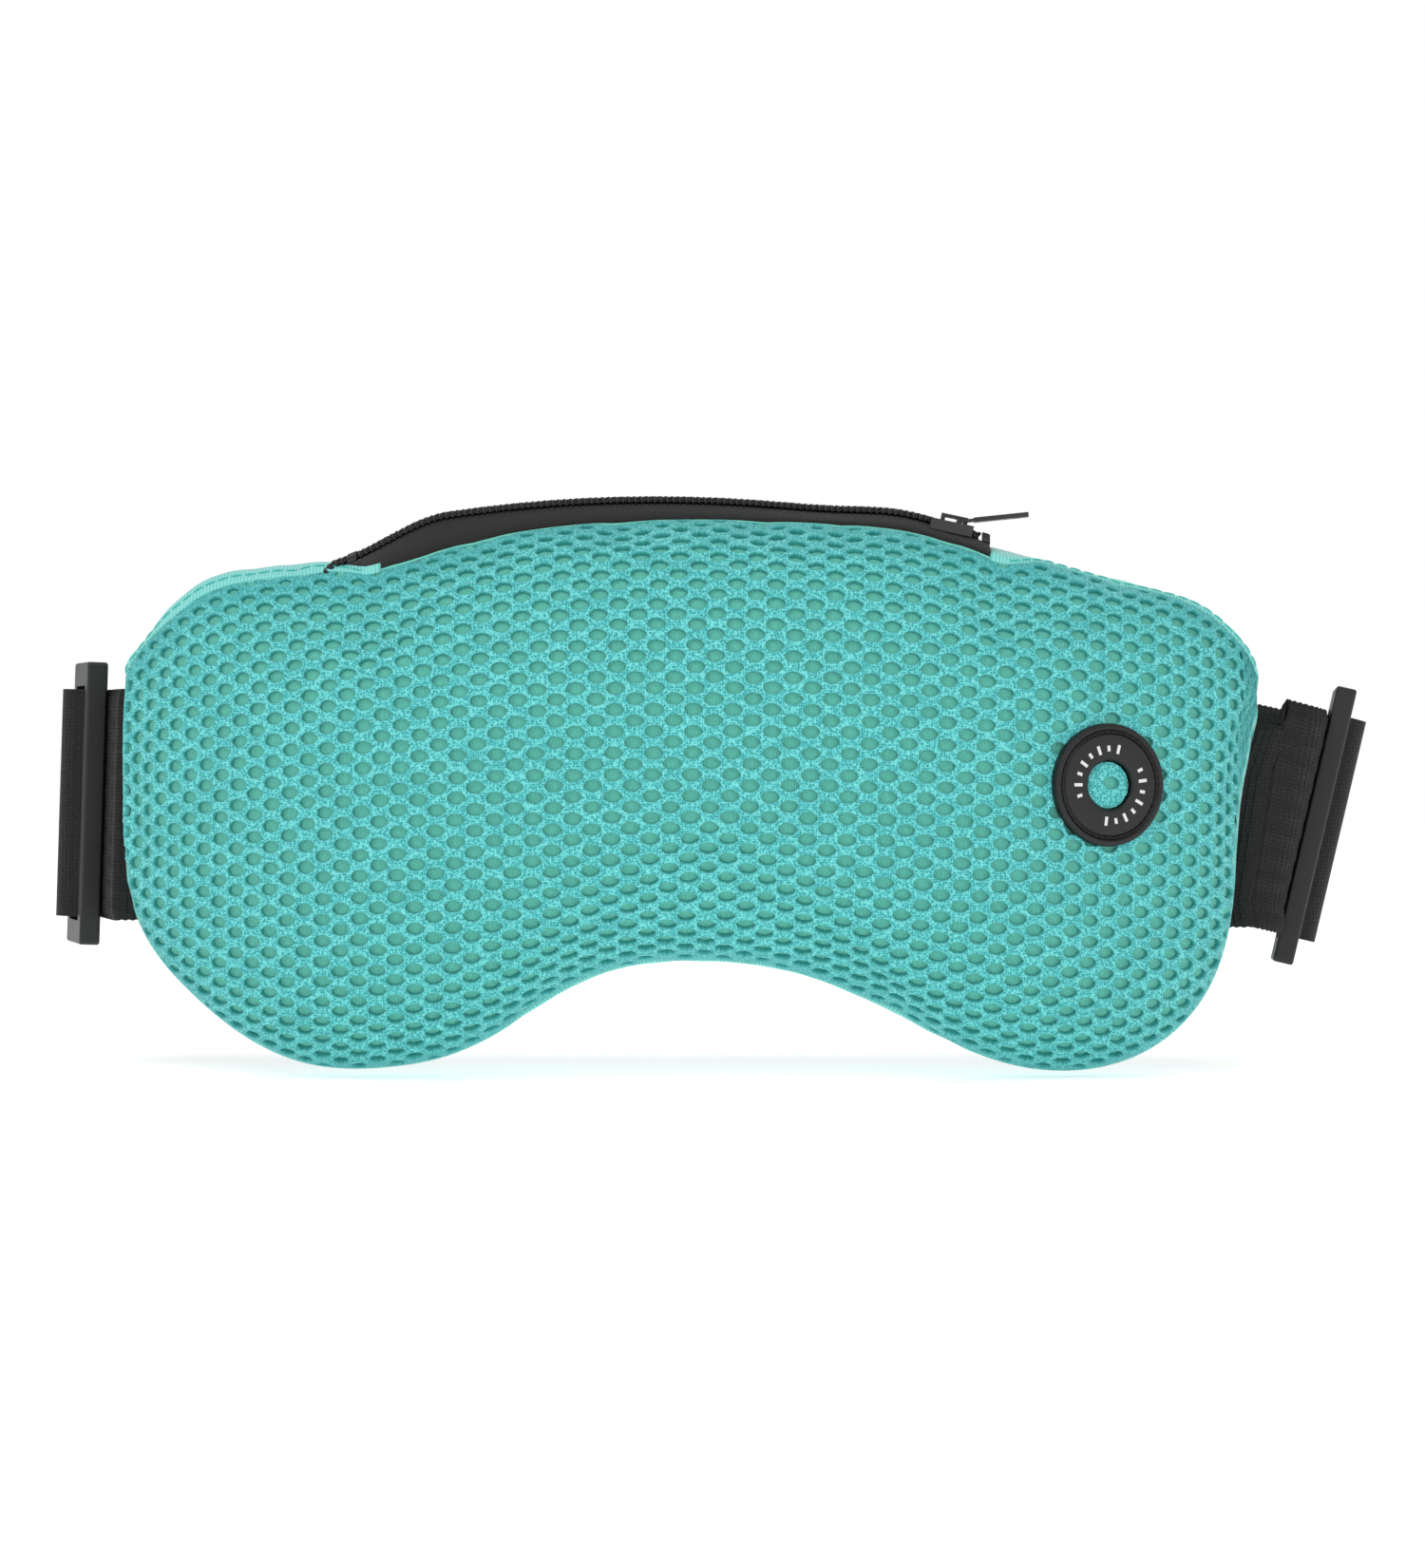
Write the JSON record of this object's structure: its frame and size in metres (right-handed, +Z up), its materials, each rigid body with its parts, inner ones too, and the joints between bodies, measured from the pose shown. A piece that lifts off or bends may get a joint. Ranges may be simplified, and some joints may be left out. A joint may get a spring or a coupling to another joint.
{
  "type": "eye massager mask",
  "caption": "Padded wrap-round eye mask with an air mesh front, a top zip, a push button in a rubber ring, vibration motors inside and a webbing strap with sliders.",
  "frame": {"origin": "middle of the mask's width, where its curved middle surface is furthest forward, a little above half its height", "axes": "+X to the right as someone facing the mask's front sees it, +Y back through the mask towards the wearer's face, +Z up"},
  "size_m": [0.2914, 0.1485, 0.1224],
  "materials": {
    "air_mesh": "knitted spacer mesh",
    "foam": "open cell foam",
    "back_knit": "soft knit",
    "zip_tape": "woven",
    "zip_coil": "nylon",
    "zip_metal": "black enamel",
    "ring_rubber": "matt",
    "webbing": "ribbed woven",
    "black_plastic": "satin",
    "switch_plastic": "satin",
    "box_plastic": "satin",
    "pod_plastic": "satin",
    "cell_wrap": "gloss",
    "spring_steel": "bright",
    "motor_steel": "plated",
    "weight_brass": "turned",
    "wire_red": "smooth",
    "screw_steel": "plated"
  },
  "bodies": {
    "mask": {"front_mesh_panel": "air_mesh", "foam_front_pad": "foam", "foam_back_pad": "foam", "back_panel": "back_knit", "zip_tape_front": "zip_tape", "zip_tape_back": "zip_tape", "zip_coil_front": "zip_coil", "zip_coil_back": "zip_coil", "zip_end_stops": "zip_coil", "button_ring": "ring_rubber", "switch_housing": "switch_plastic", "switch_contact": "motor_steel", "switch_spring": "spring_steel", "battery_box": "box_plastic", "battery_cells": "cell_wrap", "battery_springs": "spring_steel", "battery_plates": "spring_steel", "wire_switch": "wire_red", "wire_motor_left": "wire_red", "wire_motor_right": "wire_red", "motor_cradle_left": "pod_plastic", "motor_cover_left": "pod_plastic", "motor_left": "motor_steel", "motor_screws_left": "screw_steel", "motor_cradle_right": "pod_plastic", "motor_cover_right": "pod_plastic", "motor_right": "motor_steel", "motor_screws_right": "screw_steel"},
    "strap": {"head_strap": "webbing"},
    "left_slider": {"left_strap_slider": "black_plastic", "left_strap_fold": "webbing"},
    "right_slider": {"right_strap_slider": "black_plastic", "right_strap_fold": "webbing"},
    "zip_runner": {"zip_slider": "zip_metal"},
    "zip_tab": {"zip_pull": "zip_metal"},
    "button": {"button_cover_patch": "air_mesh", "button_plunger": "switch_plastic"},
    "battery_door": {"battery_lid": "box_plastic"},
    "left_weight": {"motor_weight_left": "weight_brass"},
    "right_weight": {"motor_weight_right": "weight_brass"}
  },
  "joints": [
    {"name": "strap_swing", "type": "hinge", "parent": "mask", "child": "strap", "pos_m": [0, 0.0178, -0.0025], "axis": [1, 0, 0], "range_deg": [-25, 25]},
    {"name": "left_slider_travel", "type": "slide", "parent": "strap", "child": "left_slider", "axis": [-0.2418, 0.9703, 0.0076], "range_m": [0, 0.024]},
    {"name": "right_slider_travel", "type": "slide", "parent": "strap", "child": "right_slider", "axis": [0.0849, 0.9962, -0.0199], "range_m": [0, 0.024]},
    {"name": "zip_slider_travel", "type": "hinge", "parent": "mask", "child": "zip_runner", "pos_m": [-0.008, 0.003, -0.2376], "axis": [0, 1, 0], "range_deg": [-21, 0]},
    {"name": "zip_pull_flip", "type": "hinge", "parent": "zip_runner", "child": "zip_tab", "pos_m": [0.0567, 0.003, 0.0579], "axis": [0, 1, 0], "range_deg": [-125, 0]},
    {"name": "button_press", "type": "slide", "parent": "mask", "child": "button", "axis": [-0.4067, 0.9135, 0], "range_m": [0, 0.0022], "stiffness_N_per_m": 400, "springref_m": -0.001, "deforming": ["switch_spring"]},
    {"name": "left_motor_spin", "type": "hinge", "parent": "mask", "child": "left_weight", "pos_m": [-0.058, 0.00402, -0.018], "axis": [1, 0, 0], "continuous": true},
    {"name": "right_motor_spin", "type": "hinge", "parent": "mask", "child": "right_weight", "pos_m": [0.058, 0.00402, -0.018], "axis": [1, 0, 0], "continuous": true},
    {"name": "battery_lid_slide", "type": "slide", "parent": "mask", "child": "battery_door", "axis": [-1, 0, 0], "range_m": [0, 0.062]}
  ]
}
